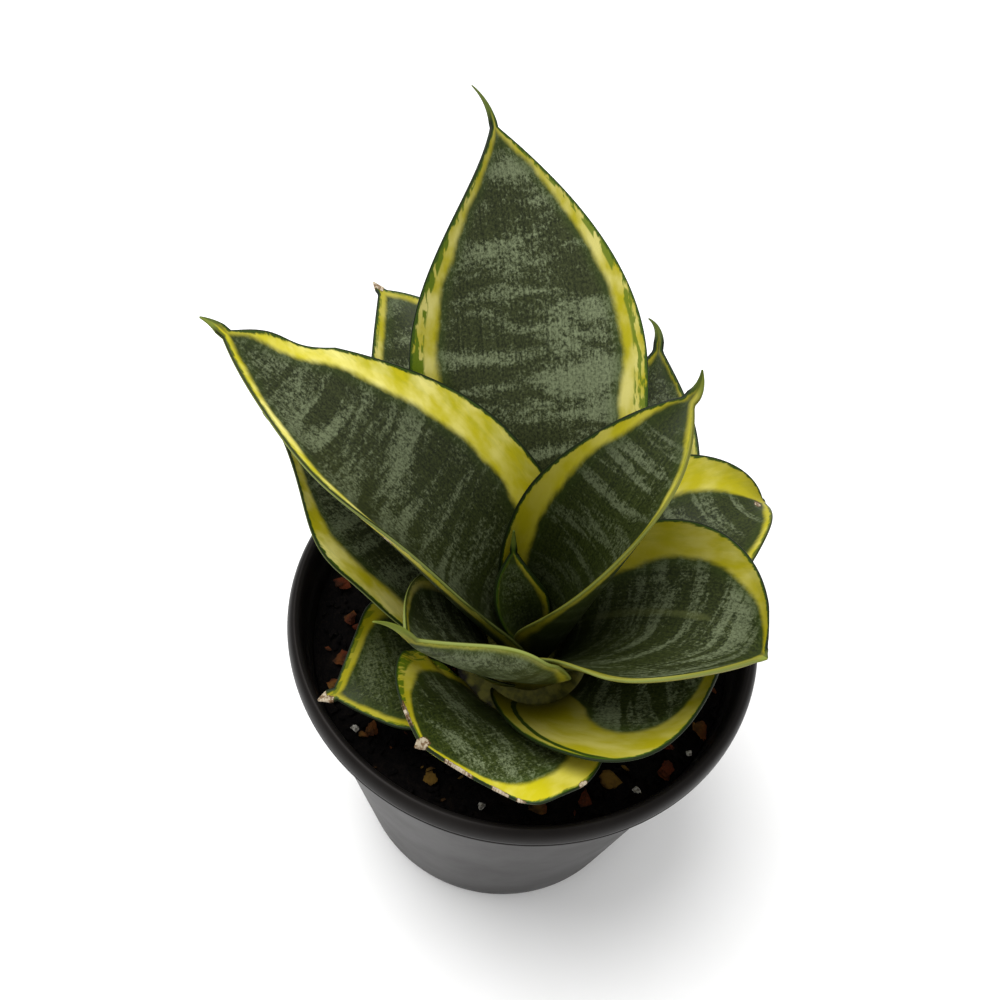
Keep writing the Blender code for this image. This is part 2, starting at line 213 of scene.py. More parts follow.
# ---- Materials ----

def linear(code, alpha=1.0):
    """An sRGB hex colour as linear RGBA."""
    parts = [int(code[i:i + 2], 16) / 255 for i in (1, 3, 5)]
    return (*[p / 12.92 if p <= 0.04045 else ((p + 0.055) / 1.055) ** 2.4 for p in parts], alpha)


def add(tree, kind, inputs=None, **settings):
    """One node with its settings; an input takes a value, or the output of another node."""
    made = tree.nodes.new("ShaderNode" + kind)
    for name, value in settings.items():
        setattr(made, name, value)
    for name, value in (inputs or {}).items():
        socket = made.inputs[name]
        if isinstance(value, bpy.types.NodeSocket):
            tree.links.new(value, socket)
        else:
            socket.default_value = value
    return made


def new_material(name, roughness, ior=1.5):
    """A material, with its node tree and its shader."""
    made = bpy.data.materials.new(name)
    made.use_nodes = True
    shader = made.node_tree.nodes["Principled BSDF"]
    shader.inputs["Roughness"].default_value = roughness
    shader.inputs["IOR"].default_value = ior
    return made, made.node_tree, shader


def scaled(tree, vector, scale, offset=(0, 0, 0)):
    """The place in a pattern: the larger the scale, the finer the pattern."""
    return add(tree, "Mapping", {"Vector": vector, "Scale": scale, "Location": offset}).outputs[0]


def grain(tree, vector, detail=2.0, rough=0.5, distortion=0.0):
    """Noise from 0 to 1, mostly near 0.5."""
    return add(tree, "TexNoise", {"Vector": vector, "Scale": 1.0, "Detail": detail, "Roughness": rough,
                                  "Distortion": distortion}).outputs["Fac"]


def compute(tree, operation, a, b=0.0, c=0.0):
    return add(tree, "Math", {0: a, 1: b, 2: c}, operation=operation).outputs[0]


def ramp(tree, value, low, high, out_low=0.0, out_high=1.0):
    """A smooth step: out_low up to low, out_high from high on."""
    return add(tree, "MapRange", {"Value": value, "From Min": low, "From Max": high, "To Min": out_low,
                                  "To Max": out_high}, interpolation_type="SMOOTHSTEP").outputs[0]


def mixed(tree, factor, a, b):
    return add(tree, "Mix", {0: factor, 2: a, 3: b}).outputs[0]


def measures(tree, name):
    """The three numbers that the leaf's vertices carry under this name."""
    vector = add(tree, "Attribute", attribute_name=name).outputs["Vector"]
    return add(tree, "SeparateXYZ", {0: vector}).outputs


def colour_mix(tree, factor, a, b):
    return add(tree, "Mix", {0: factor, 6: a, 7: b}, data_type="RGBA").outputs[2]


def dimmed(tree, colour, share):
    return add(tree, "VectorMath", {0: colour, "Scale": share}, operation="SCALE").outputs[0]


def raise_surface(tree, shader, height, strength, distance):
    """Fine relief on the surface, with its depth in metres."""
    bump = add(tree, "Bump", {"Height": height, "Strength": strength, "Distance": distance})
    tree.links.new(bump.outputs[0], shader.inputs["Normal"])


def frosted_green(tree, blade, hairs, flecks, frost, lines):
    """Dark green with grey-green cross bands 6 to 9 mm apart or lines 2 to 4 mm apart, made of clusters 1 to
    3 mm wide and of fine flecks."""
    broad = grain(tree, scaled(tree, blade, (0.045, 0.16, 1)), 2, 0.5, 0.5)
    narrow = grain(tree, scaled(tree, blade, (0.05, 0.33, 1), (0, 31, 0)), 2, 0.5, 0.6)
    bands = mixed(tree, lines, broad, narrow)
    clusters = grain(tree, scaled(tree, blade, (0.7, 0.75, 1), (0, 4, 0)), 5, 0.8)
    mottle = compute(tree, "MULTIPLY_ADD", clusters, 1.15, compute(tree, "MULTIPLY", bands, 1.5))
    mottle = compute(tree, "MULTIPLY_ADD", flecks, 0.55, mottle)
    mottle = compute(tree, "MULTIPLY_ADD", frost, 0.1, compute(tree, "MULTIPLY_ADD", hairs, 0.2, mottle))
    grainy = ramp(tree, compute(tree, "MULTIPLY_ADD", hairs, 0.35, flecks), 0.5, 0.85, 0.35, 1.05)
    frosted = compute(tree, "MULTIPLY", ramp(tree, mottle, 1.68, 2.0), ramp(tree, frost, 0.0, 0.6))
    frosted = compute(tree, "MULTIPLY", frosted, grainy)
    depth = compute(tree, "MULTIPLY_ADD", hairs, 0.25, compute(tree, "MULTIPLY", flecks, 0.85))
    light = ramp(tree, depth, 0.4, 0.7)
    fresh = colour_mix(tree, light, linear("#1a2409"), linear("#384216"))
    dull = colour_mix(tree, light, linear("#191e0d"), linear("#383e21"))
    deep = colour_mix(tree, ramp(tree, frost, 0.2, 0.9), fresh, dull)
    return colour_mix(tree, frosted, deep, linear("#6d7658"))


def margin_yellow(tree, blade, share, streaky, frost, gold):
    """Cream to butter yellow, with green streaks 1 mm wide and 3 to 8 mm long in the band's outer half."""
    cream = grain(tree, scaled(tree, blade, (0.2, 0.12, 1), (0, 3, 0)), 3)
    cream = compute(tree, "MULTIPLY", ramp(tree, cream, 0.34, 0.7), ramp(tree, frost, 0.3, 0.8, 0.15, 1.0))
    yellow = colour_mix(tree, cream, linear("#a89f12"), linear("#ccc470"))
    streaks = grain(tree, scaled(tree, blade, (0.62, 0.15, 1), (0, 9, 0)), 3, 0.6)
    streaks = compute(tree, "MULTIPLY", ramp(tree, streaks, 0.46, 0.52), ramp(tree, share, 0.62, 0.5))
    streaks = compute(tree, "MULTIPLY", streaks, streaky)
    return dimmed(tree, colour_mix(tree, streaks, yellow, linear("#5c7010")), gold)


def edge_lines(tree, skin, rim, teeth, under, line_share, pale_share):
    """The edge itself: a dark thread 0.2 mm wide, then an uneven green hem, or a pale lime line instead."""
    hem = compute(tree, "MULTIPLY_ADD", teeth, 1.6, rim)
    hem = compute(tree, "MULTIPLY", ramp(tree, hem, 1.75, 1.25), line_share)
    skin = colour_mix(tree, hem, skin, linear("#334a0e"))
    bare = compute(tree, "MULTIPLY", compute(tree, "SUBTRACT", 1.0, line_share), pale_share)
    lime = compute(tree, "MULTIPLY", ramp(tree, rim, 2.1, 1.1), bare)
    skin = colour_mix(tree, lime, skin, linear("#979840"))
    thread = compute(tree, "MULTIPLY", ramp(tree, rim, 0.34, 0.14), line_share)
    skin = colour_mix(tree, thread, skin, linear("#141f05"))
    # Painted glint: a pale line on the under face right at the edge, partly the pale cuticle and partly a
    # painted highlight
    glint = compute(tree, "MULTIPLY", ramp(tree, rim, 0.5, 0.2), compute(tree, "MULTIPLY", under, pale_share))
    return colour_mix(tree, glint, skin, linear("#8f9a4c"))


def dried_tissue(tree, skin, blade, dry):
    """Cream to tan where the leaf has dried, with a brown rim where that meets the living leaf."""
    crumble = grain(tree, scaled(tree, blade, (0.9, 0.9, 1), (0, 17, 0)), 4, 0.8)
    crisp = compute(tree, "MULTIPLY_ADD", crumble, 1.1, compute(tree, "SUBTRACT", dry, 0.2))
    skin = colour_mix(tree, ramp(tree, crisp, 0.6, 0.72), skin, linear("#5a4028"))
    husk = colour_mix(tree, ramp(tree, crumble, 0.42, 0.58), linear("#6b553c"), linear("#b0a48e"))
    return colour_mix(tree, ramp(tree, crisp, 0.74, 0.86), skin, husk)


def leaf_skin():
    """Living leaf under a waxy cuticle: dark green with broken grey-green cross bands of scattered flecks,
    a butter-yellow band along each margin streaked with green, and a fine dark line on the edge itself."""
    made, tree, shader = new_material("Variegated leaf, waxy cuticle", 0.5, 1.45)
    shader.inputs["Specular IOR Level"].default_value = 0.16
    blade = add(tree, "Attribute", attribute_name="blade").outputs["Vector"]
    rim, band, streaky = measures(tree, "edge")
    under, dry, horn = measures(tree, "state")
    tone, line_share, pale_share = measures(tree, "finish")
    frost, lines, shade = measures(tree, "coat")
    off_stripe, gold, off_crease = measures(tree, "lane")
    wave = grain(tree, scaled(tree, blade, (0.09, 0.09, 1)), 2)
    teeth = grain(tree, scaled(tree, blade, (1.1, 0.4, 1), (5, 0, 0)), 3, 0.6)
    hairs = grain(tree, scaled(tree, blade, (1.3, 0.05, 1)), 2, 0.6)
    flecks = grain(tree, scaled(tree, blade, (1.9, 1.5, 1)), 3, 0.75)

    # Soft border of the yellow band: waves about 8 mm long, small teeth 1 to 3 mm long
    ragged = compute(tree, "ADD", compute(tree, "MULTIPLY_ADD", wave, 3.0, -1.5),
                     compute(tree, "MULTIPLY_ADD", teeth, 0.9, -0.45))
    past_band = compute(tree, "SUBTRACT", compute(tree, "ADD", rim, ragged), band)
    halo = compute(tree, "MULTIPLY", ramp(tree, past_band, 4.0, 0.2), 0.55)
    fold = ramp(tree, compute(tree, "MULTIPLY_ADD", teeth, 0.8, off_crease), 1.9, 0.8, 0.0, 0.35)
    green = frosted_green(tree, blade, hairs, flecks, frost, lines)
    green = colour_mix(tree, halo, green, linear("#344314"))
    green = colour_mix(tree, fold, green, linear("#6a7040"))
    yellow = margin_yellow(tree, blade, compute(tree, "DIVIDE", rim, band), streaky, frost, gold)
    skin = colour_mix(tree, ramp(tree, past_band, -0.7, 1.2), yellow, green)
    stripe = compute(tree, "MULTIPLY_ADD", teeth, 0.8, compute(tree, "ABSOLUTE", off_stripe))
    skin = colour_mix(tree, ramp(tree, stripe, 1.25, 0.95), skin, linear("#2b3d0a"))
    lit = compute(tree, "MULTIPLY_ADD", under, -0.2, 1.0)
    skin = colour_mix(tree, lit, linear("#464f1c"), skin)
    skin = edge_lines(tree, skin, rim, teeth, under, line_share, pale_share)
    tip = colour_mix(tree, pale_share, linear("#566420"), linear("#8a9838"))
    skin = colour_mix(tree, compute(tree, "MULTIPLY", horn, 0.85), skin, tip)
    # Painted light and shade: tone is partly the leaf's own lightness and partly the light that reaches it,
    # and shade darkens the foot, where the rosette shades it, and a little of the tip
    skin = dimmed(tree, skin, compute(tree, "MULTIPLY", tone, shade))
    skin = dried_tissue(tree, skin, blade, dry)
    tree.links.new(skin, shader.inputs["Base Color"])
    tree.links.new(ramp(tree, flecks, 0.3, 0.7, 0.44, 0.58), shader.inputs["Roughness"])
    raise_surface(tree, shader, compute(tree, "MULTIPLY_ADD", flecks, 0.5, hairs), 0.2, 0.0002)
    return made


def pot_plastic():
    """Black polypropylene, injection moulded: satin, with a very fine orange-peel. Dust greys the wall, and
    the rim is wiped cleaner and darker."""
    made, tree, shader = new_material("Black polypropylene, injection moulded", 0.4, 1.49)
    shader.inputs["Specular Tint"].default_value = linear("#fff8f4")
    place = add(tree, "TexCoord").outputs["Object"]
    peel = grain(tree, scaled(tree, place, (900, 900, 900)), 2)
    cloud = grain(tree, scaled(tree, place, (45, 45, 45)), 4, 0.6)
    base = colour_mix(tree, ramp(tree, cloud, 0.4, 0.8), linear("#110f0e"), linear("#1a1817"))
    tree.links.new(base, shader.inputs["Base Color"])
    tree.links.new(ramp(tree, cloud, 0.3, 0.8, 0.38, 0.47), shader.inputs["Roughness"])
    height = add(tree, "SeparateXYZ", {0: place}).outputs[2]
    sheen = ramp(tree, height, (POT_NECK_HEIGHT - 0.5) * MM, POT_NECK_HEIGHT * MM, 0.2, 0.1)
    tree.links.new(sheen, shader.inputs["Specular IOR Level"])
    raise_surface(tree, shader, peel, 0.15, 0.0001)
    return made


def damp_mix():
    """Peat and composted bark, damp: nearly black crumbs with scattered brown fibres."""
    made, tree, shader = new_material("Damp peat mix, loose", 0.9, 1.4)
    shader.inputs["Specular IOR Level"].default_value = 0.1
    place = add(tree, "TexCoord").outputs["Object"]
    crumbs = grain(tree, scaled(tree, place, (700, 700, 700)), 5, 0.7)
    clumps = grain(tree, scaled(tree, place, (160, 160, 160), (3, 1, 0)), 3)
    base = colour_mix(tree, ramp(tree, crumbs, 0.4, 0.75), linear("#030202"), linear("#0e0a08"))
    base = colour_mix(tree, ramp(tree, clumps, 0.6, 0.75, 0.0, 0.3), base, linear("#1c130b"))
    tree.links.new(base, shader.inputs["Base Color"])
    raise_surface(tree, shader, crumbs, 0.8, 0.0006)
    return made


def bark_fibre():
    """Composted pine bark, broken by hand: ochre and red-brown layers, dull and dry on top."""
    made, tree, shader = new_material("Composted bark, broken", 0.85, 1.4)
    shader.inputs["Specular IOR Level"].default_value = 0.15
    place = add(tree, "TexCoord").outputs["Object"]
    layers = grain(tree, scaled(tree, place, (260, 260, 900)), 3)
    patch = grain(tree, scaled(tree, place, (55, 55, 55), (2, 0, 0)), 2)
    base = colour_mix(tree, ramp(tree, patch, 0.45, 0.6), linear("#4c200d"), linear("#5c4519"))
    base = colour_mix(tree, ramp(tree, layers, 0.35, 0.7), base, linear("#22140b"))
    tree.links.new(base, shader.inputs["Base Color"])
    raise_surface(tree, shader, layers, 0.7, 0.0004)
    return made


def perlite_stone():
    """Expanded perlite: white glass foam, full of pits and dusted with peat."""
    made, tree, shader = new_material("Expanded perlite, foamed", 0.8, 1.5)
    place = add(tree, "TexCoord").outputs["Object"]
    pits = grain(tree, scaled(tree, place, (1500, 1500, 1500)), 3)
    base = colour_mix(tree, ramp(tree, pits, 0.35, 0.6), linear("#4f4b43"), linear("#a8a59c"))
    tree.links.new(base, shader.inputs["Base Color"])
    raise_surface(tree, shader, pits, 0.8, 0.0003)
    return made


def crown_tissue():
    """Pale fibrous tissue where the leaves join, dark brown towards its foot by the mix."""
    made, tree, shader = new_material("Leaf-base tissue, fibrous", 0.6, 1.4)
    place = add(tree, "TexCoord").outputs["Object"]
    fibres = grain(tree, scaled(tree, place, (500, 500, 60)), 3)
    base = colour_mix(tree, ramp(tree, fibres, 0.35, 0.7), linear("#5a5a18"), linear("#8a8630"))
    height = add(tree, "SeparateXYZ", {0: place}).outputs[2]
    uneven = compute(tree, "MULTIPLY_ADD", fibres, 2 * MM, height)
    # Dark brown below 1 to 2 mm above the shoulder, with a ragged fibrous border
    darker_foot = ramp(tree, uneven, (CROWN_SHOULDER + 2.2) * MM, (CROWN_SHOULDER + 1.2) * MM)
    base = colour_mix(tree, darker_foot, base, linear("#1c150c"))
    tree.links.new(base, shader.inputs["Base Color"])
    raise_surface(tree, shader, fibres, 0.5, 0.0003)
    return made


def studio_floor_paper():
    """White seamless paper: matt, with a faint tooth."""
    made, tree, shader = new_material("Seamless paper, matt", 0.9, 1.4)
    place = add(tree, "TexCoord").outputs["Object"]
    tooth = grain(tree, scaled(tree, place, (60, 60, 60)), 3)
    base = colour_mix(tree, tooth, linear("#fbfbfa"), linear("#ffffff"))
    tree.links.new(base, shader.inputs["Base Color"])
    return made


# ---- Shapes ----

def through(values, t):
    """The smooth curve through three values at t = 0, 0.5 and 1."""
    first, middle, last = values
    return first * (1 - t) * (1 - 2 * t) + middle * 4 * t * (1 - t) + last * t * (2 * t - 1)


def add_piece(name, bm, finish, node=None, smooth=True):
    """The bmesh, drawn in millimetres, as one piece in metres that rides on the plant, and stands for its
    node if it has one."""
    bmesh.ops.scale(bm, verts=bm.verts[:], vec=(MM, MM, MM))
    mesh = bpy.data.meshes.new(name)
    bm.to_mesh(mesh)
    bm.free()
    for polygon in mesh.polygons:
        polygon.use_smooth = smooth
    made = bpy.data.objects.new(name, mesh)
    made.data.materials.append(finish)
    bpy.context.scene.collection.objects.link(made)
    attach(made, "root")
    if node:
        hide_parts(node)
    return made


def face_outward(bm):
    bmesh.ops.recalc_face_normals(bm, faces=bm.faces[:])
    if bm.calc_volume(signed=True) < 0:
        bmesh.ops.reverse_faces(bm, faces=bm.faces[:])


def half_width(leaf, t):
    """Half the blade's width at t, from 0 at the foot to 1 where the horn starts."""
    full = leaf.width / 2
    if t < leaf.widest:
        share = leaf.base + (1 - leaf.base) * math.sin(math.pi / 2 * t / leaf.widest)
    else:
        share = max(math.cos(math.pi / 2 * (t - leaf.widest) / (1 - leaf.widest)), 0.0) ** leaf.taper
    return max(full * share, leaf.horn[1])


def direction(heading, rise):
    """The way that a heading and a rise point, both in radians."""
    level = math.cos(rise)
    return Vector((level * math.cos(heading), level * math.sin(heading), math.sin(rise)))


Station = namedtuple("Station", "place side normal half bend past t along stretch")


def stations(leaf, rank):
    """Along the midrib: place, side, upward normal, half width, bend and stretch of the left half."""
    ring = FIRST_RING + RING_STEP * rank
    start = math.radians(leaf.heading[0])
    place = Vector((CROWN_X + ring * math.cos(start), CROWN_Y + ring * math.sin(start),
                    FIRST_FOOT - FOOT_STEP * rank))
    wrap = math.degrees(leaf.width / 2 * leaf.base / (ring + 0.6))
    found, ahead, distance = [], None, 0.0
    for row in range(BLADE_ROWS + HORN_ROWS + 1):
        t = min(row / BLADE_ROWS, 1.0)
        past = max(row - BLADE_ROWS, 0) / HORN_ROWS
        heading = math.radians(through(leaf.heading, t) + leaf.turn[0] * past)
        rise = math.radians(through(leaf.rise, t) + leaf.turn[1] * past)
        roll = math.radians(through((0.0, *leaf.roll), t))
        bend = math.radians(max(through((wrap, *leaf.cup), t), 0.5))
        along = direction(heading, rise)
        if ahead:
            step = leaf.horn[0] / HORN_ROWS if past else leaf.length / BLADE_ROWS
            place = place + (ahead + along) * step / 2
            distance += step
        ahead = along
        level = Vector((math.sin(heading), -math.cos(heading), 0.0))
        upward = level.cross(along)
        side = level * math.cos(roll) + upward * math.sin(roll)
        normal = upward * math.cos(roll) - level * math.sin(roll)
        half = leaf.horn[1] + (HORN_END - leaf.horn[1]) * past if past else half_width(leaf, t)
        stretch = 1 + leaf.clasp * max(1 - t / CLASP_FADE, 0.0) ** 2 / half
        found.append(Station(place, side, normal, half, bend, past, t, distance, stretch))
    return found


def blade_thickness(station, across):
    """Thickness at -1 to 1 across the blade, thinner towards the margins and rounded off at the edge."""
    thick = THICK_MARGIN + (THICK_MIDRIB - THICK_MARGIN) * (1 - across * across)
    thick = THICK_HORN + (thick - THICK_HORN) * min(station.half / FULL_THICK_HALF, 1.0)
    thick = thick * (1 - 0.6 * station.past)
    inset = (1 - abs(across)) * station.half
    if inset < EDGE_ROUND:
        share = 1 - inset / EDGE_ROUND
        thick = EDGE_THICK + (thick - EDGE_THICK) * math.sqrt(max(1 - share * share, 0.0))
    return thick


def ripple(leaf, station, across):
    """How far the margin waves out of the blade, none at the foot or in the horn."""
    height, waves, phase = leaf.wave
    swing = math.sin(math.tau * (waves * station.t + phase + RIPPLE_LEAD * (across > 0)))
    return height * swing * math.sin(math.pi * station.t) * abs(across) ** 4


def tip_lobe(leaf, station, across):
    """How far the right margin stands out sideways near the tip."""
    if across < 0 or not LOBE_START < station.t < LOBE_END:
        return 0.0
    turn = math.tau * (station.t - LOBE_START) / (LOBE_END - LOBE_START)
    return -TIP_LOBES.get(leaf.name, 0.0) * math.sin(turn) * across ** 2


def dryness(leaf, station, across):
    """1 where the tissue is dry, falling to 0 round it."""
    found = DRIED_TIPS.get(leaf.name, 0.0) * min(station.past * 3, 1.0)
    for name, along, place, radius in NICKS:
        if name == leaf.name:
            away = math.hypot((station.t - along) * leaf.length, (across - place) * station.half)
            found = max(found, 1 - 0.75 * away / radius)
    return found


def stripe_distance(leaf, station, across):
    """How far in mm a point lies from the middle of the leaf's dark stripe."""
    if across < 0 or leaf.name not in STRIPES:
        return FAR_OFF
    start, end = STRIPES[leaf.name]
    apart = (1 - across) * station.half - start * (1 - station.t / end)
    return apart + FAR_OFF * max(station.t - end + 0.1, 0.0)


def crease_distance(leaf, station, across):
    """How far in mm a point lies from the middle of the leaf's crease, which fades out at both ends."""
    if leaf.name not in CREASES:
        return FAR_OFF
    apart = abs(across * station.half - CREASES[leaf.name])
    return apart + FAR_OFF * max(abs(station.t - 0.5) - 0.2, 0.0)


def blade_point(leaf, station, across, face):
    """A point at -1 to 1 across the blade, on its upper (1) or under (-1) face."""
    radius = station.half / station.bend
    angle = station.bend * across * (station.stretch if across < 0 else 1)
    middle = (station.place + station.side * radius * math.sin(angle)
              + station.normal * radius * (1 - math.cos(angle)))
    out = station.normal * math.cos(angle) - station.side * math.sin(angle)
    outward = station.side * math.cos(angle) + station.normal * math.sin(angle)
    lift = ripple(leaf, station, across) + face * blade_thickness(station, across) / 2
    return middle + out * lift + outward * tip_lobe(leaf, station, across)


def kept_inside(point, low, high):
    """The point, or the nearest one to it in the box."""
    return Vector([min(max(value, least), most) for value, least, most in zip(point, low, high)])


def skin_measures(leaf, rank, station, across, upper):
    """What the skin is drawn by at one point, in the order of MEASURES. Near the midrib the left band's width
    blends into the right band's, and the cross bands turn in a curve from one slant to the other."""
    right = across > 0
    share = min(abs(across) * 4, 1.0)
    band = through(leaf.right if right else leaf.left, station.t)
    other = through(leaf.left if right else leaf.right, station.t)
    band = band * (0.5 + share / 2) + other * (0.5 - share / 2)
    slant = leaf.slant[right] * (math.hypot(across * station.half, 4.0) - 4.0)
    frost, lines, shaded = leaf.coat
    lit = min(station.t / shaded, 1.0)
    end = min(max((station.t - TIP_START) / (1 - TIP_START), 0.0), 1.0)
    return (
        (across * station.half, station.along - slant, PATTERN_STEP * rank),
        ((1 - abs(across)) * station.half, band, leaf.streak[right]),
        (0.0 if upper else 1.0, dryness(leaf, station, across), min(station.past * 3, 1.0)),
        (leaf.tone, leaf.thread[right], leaf.pale[right]),
        (frost * (FOOT_FROST + (1 - FOOT_FROST) * lit) * (1 - TIP_FROST_LOSS * end), lines,
         (FOOT_LIGHT + (1 - FOOT_LIGHT) * lit) * (1 - TIP_LIGHT_LOSS * end)),
        (stripe_distance(leaf, station, across), BAND_LIGHT.get(leaf.name, 1.0),
         crease_distance(leaf, station, across)),
    )


def add_leaf(leaf, rank, cuticle):
    """A grid bent to the blade, drawn out to a second face, with the measures that its skin is drawn by."""
    line = stations(leaf, rank)
    box = [Vector(corner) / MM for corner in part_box(leaf.name)]
    bm = bmesh.new()
    bmesh.ops.create_grid(bm, x_segments=COLUMNS, y_segments=len(line) - 1, size=1.0)
    rows = bm.verts.layers.int.new("row")
    layers = [bm.verts.layers.float_vector.new(name) for name in MEASURES]
    for vert in bm.verts:
        vert[rows] = round((vert.co.y + 1) / 2 * (len(line) - 1))
        vert.co.x = math.sin(math.pi / 2 * vert.co.x)
    raised = bmesh.ops.extrude_face_region(bm, geom=bm.faces[:], use_keep_orig=True)
    upper = {item for item in raised["geom"] if isinstance(item, bmesh.types.BMVert)}
    for vert in bm.verts:
        station = line[vert[rows]]
        across = vert.co.x
        for layer, measure in zip(layers, skin_measures(leaf, rank, station, across, vert in upper)):
            vert[layer] = measure
        vert.co = kept_inside(blade_point(leaf, station, across, 1 if vert in upper else -1), *box)
    face_outward(bm)
    add_piece("skin_" + leaf.name, bm, cuticle, leaf.name)


def lathe(profile, segments):
    """A closed body turned about Z from (radius, height) points that start and end on the axis."""
    bm = bmesh.new()
    rail = [bm.verts.new((radius, 0.0, height)) for radius, height in profile]
    edges = [bm.edges.new(pair) for pair in zip(rail, rail[1:])]
    bmesh.ops.spin(bm, geom=rail + edges, cent=(0, 0, 0), axis=(0, 0, 1), angle=math.tau,
                   steps=segments, use_merge=True)
    bmesh.ops.remove_doubles(bm, verts=bm.verts[:], dist=0.005)
    face_outward(bm)
    return bm


def pot_outer_radius(height):
    return POT_FOOT_RADIUS + (POT_NECK_RADIUS - POT_FOOT_RADIUS) * height / POT_NECK_HEIGHT


def pot_inner_radius(height):
    return pot_outer_radius(height) - POT_WALL


def arc(cx, cy, radius, start, end, steps):
    """Points of a round corner, angles in degrees."""
    turn = [math.radians(start + (end - start) * step / steps) for step in range(steps + 1)]
    return [(cx + radius * math.cos(angle), cy + radius * math.sin(angle)) for angle in turn]


def pot_profile():
    """Up the inner wall past its ledge, over the rolled rim and down its skirt with a fine groove, in under it
    and down the outer wall."""
    top = POT_HEIGHT
    inner = pot_inner_radius(POT_NECK_HEIGHT)
    skirt = top - RIM_SKIRT
    low = RIM_RADIUS - RIM_GROOVE
    floor = [(0.0, POT_FLOOR), (pot_inner_radius(POT_FLOOR) - 1.0, POT_FLOOR),
             (pot_inner_radius(POT_FLOOR + 0.3) - 0.3, POT_FLOOR + 0.3),
             (pot_inner_radius(POT_FLOOR + 1.0), POT_FLOOR + 1.0)]
    wall = [(pot_inner_radius(height), height) for height in (20, 40, 60, POT_LEDGE - 1, POT_LEDGE)]
    step = [(pot_inner_radius(POT_LEDGE + 0.4) + 0.25, POT_LEDGE + 0.4), (inner + 0.2, POT_NECK_HEIGHT)]
    roll = [(inner + 0.35, top - 3.0), (inner + 0.7, top - 1.6), (inner + 1.1, top - 0.7),
            (inner + 1.6, top - 0.15)]
    fall = top - skirt - 1.4
    crest = [(RIM_RADIUS - RIM_ROLL * (1 - x), top - fall * (1 - y)) for x, y in arc(0, 0, 1, 90, 0, 14)]
    groove = [(low, skirt + 1.2), (low, skirt + 1.05), (RIM_RADIUS, skirt + 0.85)]
    hem = [*groove, (RIM_RADIUS - 0.05, skirt + 0.3), (low, skirt), (RIM_RADIUS - RIM_LIP, skirt),
           (RIM_RADIUS - RIM_LIP - 0.1, top - RIM_LIP - 0.8), (POT_NECK_RADIUS + 0.2, top - RIM_LIP - 0.8),
           (POT_NECK_RADIUS, POT_NECK_HEIGHT)]
    outer = [(pot_outer_radius(height), height) for height in (81.0, 60, 40, 20, 4.0, POT_FOOT_ROUND)]
    foot = arc(POT_FOOT_RADIUS - POT_FOOT_ROUND, POT_FOOT_ROUND, POT_FOOT_ROUND, -10, -90, 6)
    return floor + wall + step + roll + crest + hem + outer + foot + [(0.0, 0.0)]


def baked_cut(piece, cutter):
    """Takes the cutter's shape out of the piece for good, and clears the cutter away."""
    boolean = piece.modifiers.new("cut", "BOOLEAN")
    boolean.operation = "DIFFERENCE"
    boolean.solver = "EXACT"
    boolean.object = cutter
    graph = bpy.context.evaluated_depsgraph_get()
    mesh = bpy.data.meshes.new_from_object(piece.evaluated_get(graph))
    piece.modifiers.clear()
    piece.data = mesh
    bpy.data.objects.remove(cutter, do_unlink=True)


def drain_cutter():
    bm = bmesh.new()
    for index in range(DRAIN_HOLES):
        angle = math.tau * (index + 0.5) / DRAIN_HOLES
        place = Vector((DRAIN_RING * math.cos(angle), DRAIN_RING * math.sin(angle), POT_FLOOR / 2))
        bmesh.ops.create_cone(bm, cap_ends=True, segments=40, radius1=DRAIN_RADIUS, radius2=DRAIN_RADIUS,
                              depth=3 * POT_FLOOR, matrix=Matrix.Translation(place))
    bmesh.ops.scale(bm, verts=bm.verts[:], vec=(MM, MM, MM))
    mesh = bpy.data.meshes.new("drain")
    bm.to_mesh(mesh)
    bm.free()
    made = bpy.data.objects.new("drain", mesh)
    bpy.context.scene.collection.objects.link(made)
    return made


def add_pot():
    pot = add_piece("pot_moulded", lathe(pot_profile(), POT_SEGMENTS), pot_plastic(), "pot")
    baked_cut(pot, drain_cutter())


def soil_height(x, y):
    return SOIL_LEVEL + SOIL_LUMP_HEIGHT * noise.noise(Vector((x, y, 0.0)) / SOIL_LUMP_SPREAD)


def crumb_relief(x, y):
    """Loose crumbs: lumps of 4 mm and of 1.3 mm, with pits between them."""
    large = 0.5 - noise.voronoi(Vector((x, y, 0.0)) / 4.0)[0][0]
    small = 0.5 - noise.voronoi(Vector((x, y, 7.0)) / 1.3)[0][0]
    return 0.9 * large + 0.55 * small + 0.35 * noise.noise(Vector((x, y, 3.0)) / 0.8)


def add_soil():
    edge = pot_inner_radius(SOIL_LEVEL) - GAP
    floor = POT_FLOOR + GAP
    rings = [(edge * ring / SOIL_RINGS, SOIL_LEVEL) for ring in range(SOIL_RINGS + 1)]
    low = [(edge - 0.05, SOIL_LEVEL - 2.0), (pot_inner_radius(floor + 2.0) - GAP, floor + 2.0),
           (pot_inner_radius(floor) - 2.0, floor)]
    bm = lathe(rings + low + [(0.0, floor)], SOIL_SEGMENTS)
    for vert in bm.verts:
        if vert.co.z > SOIL_LEVEL - 1.0:
            x, y = vert.co.x, vert.co.y
            vert.co.z = soil_height(x, y) - CRUMB_SINK + crumb_relief(x, y)
    add_piece("potting_mix", bm, damp_mix(), "soil")


def angular_lump(divisions, facets, dice):
    """A broken lump 1 mm across: a ball cut flat on several sides, with a rough surface."""
    bm = bmesh.new()
    bmesh.ops.create_icosphere(bm, subdivisions=divisions, radius=0.5)
    for _ in range(facets):
        side = Vector([dice.uniform(-1, 1) for _ in range(3)]).normalized()
        reach = dice.uniform(0.16, 0.36)
        for vert in bm.verts:
            vert.co -= side * max(vert.co.dot(side) - reach, 0.0)
    shift = Vector([dice.uniform(0, 90) for _ in range(3)])
    for vert in bm.verts:
        vert.co *= 1 + 0.3 * noise.noise(vert.co * 7.0 + shift)
    return bm


